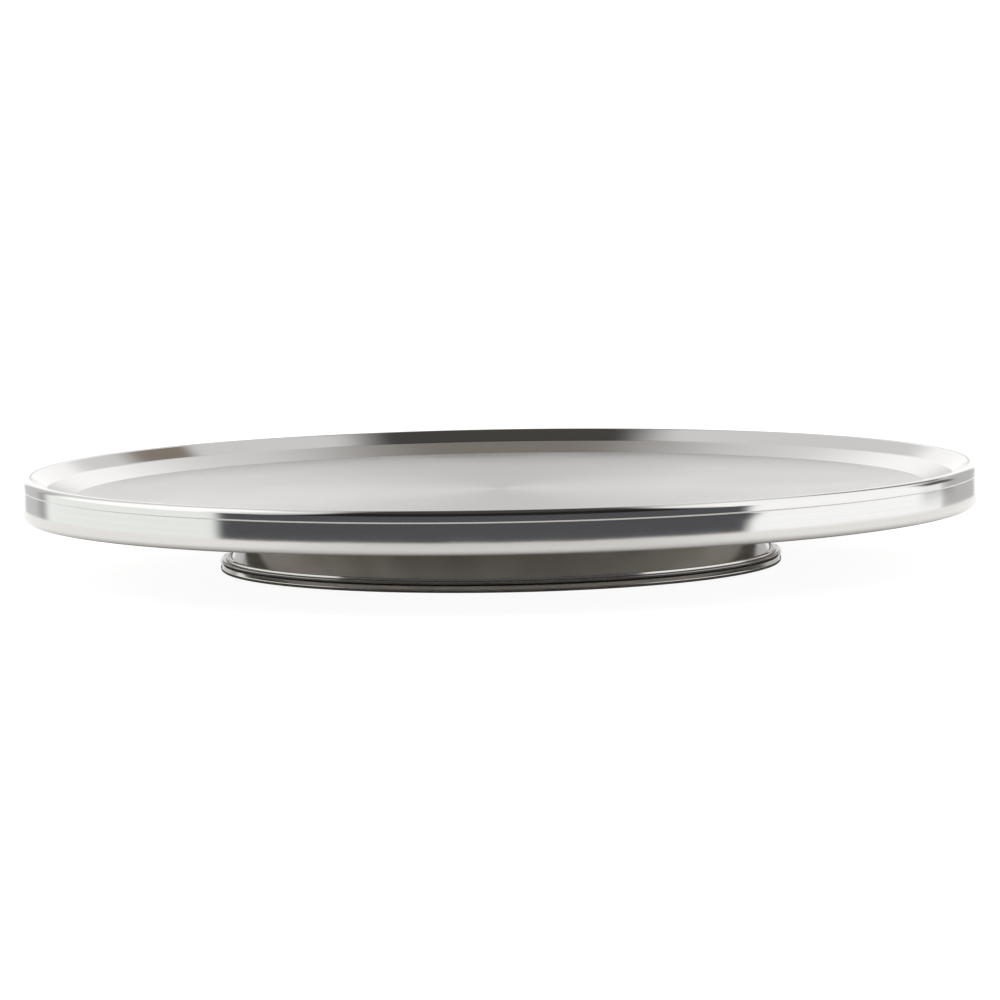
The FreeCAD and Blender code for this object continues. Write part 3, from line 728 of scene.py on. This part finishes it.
# ---------------------------------------------------------------- bottom pan
# Pressed from the same sheet as the shell, and screwed to the posts. Its floor is raised on a slope, its heel
# is tight, and its band leans in a little up to a flat lip under the shell's flange.
PAN_FLOOR = 2.0
PAN_FLOOR_RADIUS = 80.0
PAN_SLOPE_RUN = 1.5
PAN_RIM_BOTTOM = 1.0
PAN_WIDEST = (89.72, 1.9)
PAN_HEEL_RADIUS = 89.5
PAN_RIM_TOP = 3.2
PAN_RIM_TOP_RADIUS = 89.25
PAN_LIP_RADIUS = 85.9
PAN_FLOOR_BEND = 1.1
PAN_HEEL_BEND = 0.5
PAN_BAND_BEND = 0.8
PAN_LIP_BEND = 0.3

pan_path = [
    (0, PAN_FLOOR, 0),
    (PAN_FLOOR_RADIUS, PAN_FLOOR, PAN_FLOOR_BEND),
    (PAN_FLOOR_RADIUS + PAN_SLOPE_RUN, PAN_RIM_BOTTOM, PAN_FLOOR_BEND),
    (PAN_HEEL_RADIUS, PAN_RIM_BOTTOM, PAN_HEEL_BEND),
    (*PAN_WIDEST, PAN_BAND_BEND),
    (PAN_RIM_TOP_RADIUS, PAN_RIM_TOP, PAN_LIP_BEND),
    (PAN_LIP_RADIUS, PAN_RIM_TOP, 0),
]
pan = spun("base_pan_pressing", pan_path + other_skin(pan_path, -BASE_SHEET))
pan.data.materials.append(drawn_stainless)
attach(pan, "base")
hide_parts("base_pan")


# ---------------------------------------------------------------- seam gasket and feet
# Black rubber: a flat ring in the seam between the two pressings, and four push-in feet. A foot has a rounded
# pad with a dimple below, and a barb that holds above the pan's floor.
GASKET_INNER = PAN_LIP_RADIUS
GASKET_OUTER = 88.72
GASKET_TOP = FLANGE_TOP - BASE_SHEET
FOOT_COUNT = 4
FOOT_CIRCLE = 70.0
FOOT_SIDES = 64
FOOT_RADIUS = 8.0
FOOT_DIMPLE_TOP = 0.8
FOOT_DIMPLE_RADIUS = 1.7
FOOT_DIMPLE_MOUTH = 2.5
FOOT_STEM_RADIUS = 2.5
FOOT_BARB_RADIUS = 3.6
FOOT_TIP_RADIUS = 2.3
FOOT_TIP_TOP = 4.4
FOOT_DIMPLE_BEND = 0.4
FOOT_MOUTH_BEND = 0.3
FOOT_PAD_BEND = 0.6
FOOT_PAD_TOP_BEND = 0.1
FOOT_BARB_BEND = 0.15
FOOT_TIP_BEND = 0.3

# The rubber is matt, with a fine skin and a little dust.
black_rubber = moulded(
    "black rubber", "#1B1B1C", "#2B2A29", roughness=0.68,
    mottle_mm=1.6, grain_mm=0.18, grain_depth=0.010)
gasket = spun("seam_gasket_ring", [
    (GASKET_INNER, PAN_RIM_TOP, 0),
    (GASKET_OUTER, PAN_RIM_TOP, 0),
    (GASKET_OUTER, GASKET_TOP, 0),
    (GASKET_INNER, GASKET_TOP, 0),
])
gasket.data.materials.append(black_rubber)
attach(gasket, "base")
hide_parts("seam_gasket")

first_foot = spun("rubber_foot_1", [
    (0, FOOT_DIMPLE_TOP, 0),
    (FOOT_DIMPLE_RADIUS, FOOT_DIMPLE_TOP, FOOT_DIMPLE_BEND),
    (FOOT_DIMPLE_MOUTH, 0, FOOT_MOUTH_BEND),
    (FOOT_RADIUS, 0, FOOT_PAD_BEND),
    (FOOT_RADIUS, PAN_FLOOR, FOOT_PAD_TOP_BEND),
    (FOOT_STEM_RADIUS, PAN_FLOOR, 0),
    (FOOT_STEM_RADIUS, PAN_FLOOR + BASE_SHEET, 0),
    (FOOT_BARB_RADIUS, PAN_FLOOR + BASE_SHEET, FOOT_BARB_BEND),
    (FOOT_TIP_RADIUS, FOOT_TIP_TOP, FOOT_TIP_BEND),
    (0, FOOT_TIP_TOP, 0),
], FOOT_SIDES)
first_foot.data.materials.append(black_rubber)
feet = [first_foot]
while len(feet) < FOOT_COUNT:
    bpy.ops.object.duplicate()
    foot = bpy.context.object
    feet.append(foot)
    foot.name = f"rubber_foot_{len(feet)}"
    foot.data.name = foot.name
for index, foot in enumerate(feet):
    angle = 2 * math.pi * index / FOOT_COUNT
    place = (FOOT_CIRCLE * MM * math.cos(angle), FOOT_CIRCLE * MM * math.sin(angle), 0)
    bpy.ops.object.select_all(action="DESELECT")
    foot.select_set(True)
    bpy.context.view_layer.objects.active = foot
    bpy.ops.object.mode_set(mode="EDIT")
    bpy.ops.mesh.select_all(action="SELECT")
    bpy.ops.transform.translate(value=place)
    bpy.ops.object.mode_set(mode="OBJECT")
    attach(foot, "base")
    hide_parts("rubber_feet")


# ---------------------------------------------------------------- plate
# Spun from 0.9 mm stainless sheet: a flat well, a rim in two slopes, a rolled lip, a nip line under it and a
# slightly barrelled skirt with an inward hem. It is spot-welded to the carrier disc. Each face has its own
# finish: the well is satin, the rim, lip and skirt are polished, and the underside is as the mill left it,
# rough, and painted darker as shade.
PLATE_SHEET = 0.9
WELL_TOP = 25.2
WELL_RADIUS = 135.8
WELL_EDGE_BEND = 1.5
RIM_BREAK = (144.8, 28.5)
RIM_BREAK_BEND = 3.0
PLATE_RADIUS = 152.5
LIP_RADIUS = 1.9
NIP_HEIGHT = 28.5
NIP_DEPTH = 0.22
NIP_BEND = 0.3
SKIRT_BOTTOM = 18.6
SKIRT_LEAN = math.radians(5)
SKIRT_CURVED_SHARE = 0.85
HEM_BEND = 2.0
HEM_WIDTH = 3.4
NEAR_WELL_TOP = 0.1
POINTS_DOWN = -0.8
POINTS_INWARD = -0.5

lip_centre = (PLATE_RADIUS - LIP_RADIUS, CREST_HEIGHT - LIP_RADIUS)
run = lip_centre[0] - RIM_BREAK[0]
rise = lip_centre[1] - RIM_BREAK[1]
upper_slope = math.atan2(rise, run) + math.asin(LIP_RADIUS / math.hypot(run, rise))
lip_corner_height = RIM_BREAK[1] + (PLATE_RADIUS - RIM_BREAK[0]) * math.tan(upper_slope)
bulge_height = (NIP_HEIGHT + SKIRT_BOTTOM + HEM_BEND) / 2
bulge_bend = SKIRT_CURVED_SHARE * (NIP_HEIGHT - bulge_height) / math.sin(SKIRT_LEAN)
bulge_corner = PLATE_RADIUS + bulge_bend * (1 / math.cos(SKIRT_LEAN) - 1)
nip_radius = bulge_corner - (NIP_HEIGHT - bulge_height) * math.tan(SKIRT_LEAN)
heel_radius = bulge_corner - (bulge_height - SKIRT_BOTTOM) * math.tan(SKIRT_LEAN)
outer_skin = [
    (0, WELL_TOP, 0),
    (WELL_RADIUS, WELL_TOP, WELL_EDGE_BEND),
    (*RIM_BREAK, RIM_BREAK_BEND),
    (PLATE_RADIUS, lip_corner_height, LIP_RADIUS),
    (PLATE_RADIUS, NIP_HEIGHT + NIP_DEPTH, NIP_BEND),
    (nip_radius, NIP_HEIGHT, NIP_BEND),
    (bulge_corner, bulge_height, bulge_bend),
    (heel_radius, SKIRT_BOTTOM, HEM_BEND),
    (heel_radius - HEM_WIDTH, SKIRT_BOTTOM, 0),
]

# The sheet's inner skin leaves out the nip's two corners, because the nip only marks the outside.
inner_path = outer_skin[:4] + outer_skin[6:]
plate = spun("spun_plate", outer_skin + other_skin(inner_path, PLATE_SHEET))

# Brushed round and round on the lathe, the well spreads the light into a fan and mirrors nothing sharply.
satin_stainless = stainless(
    "circular satin stainless steel", "#D9D8D6", "#E6E5E4", roughness=0.34, anisotropic=0.3,
    streak_mm=0.6, line_depth=0.004, wave_mm=45, wave_depth=0.02)
# The mill's dull finish is rough, grey and a little brown. Its colour is darker than the polish's as painted
# shade.
dull_shaded_stainless = stainless(
    "dull mill stainless steel with painted shade", "#AEAAA4", "#BDB9B4", roughness=0.50, anisotropic=0.3,
    streak_mm=0.8, line_depth=0.004, wave_mm=20, wave_depth=0.02)
# Polish makes a clean mirror, with slow ripples from spinning.
polished_stainless = stainless(
    "polished stainless steel", "#D8D6D4", "#E0DFDD", roughness=0.085, anisotropic=0.2,
    streak_mm=0.5, line_depth=0.002, wave_mm=22, wave_depth=0.06)
finishes = [polished_stainless, satin_stainless, dull_shaded_stainless]
for finish in finishes:
    plate.data.materials.append(finish)
# Painted shade: faces pointing down, and the skirt's inward faces, get the dull finish's darker colour.
for face in plate.data.polygons:
    points_out = face.normal.xy.dot(face.center.xy.normalized())
    in_skirt = face.center.z < NIP_HEIGHT * MM
    if face.center.z > (WELL_TOP - NEAR_WELL_TOP) * MM and face.center.xy.length < WELL_RADIUS * MM:
        face.material_index = finishes.index(satin_stainless)
    elif face.normal.z < POINTS_DOWN or (points_out < POINTS_INWARD and in_skirt):
        face.material_index = finishes.index(dull_shaded_stainless)
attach(plate, "turntable")
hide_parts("plate")
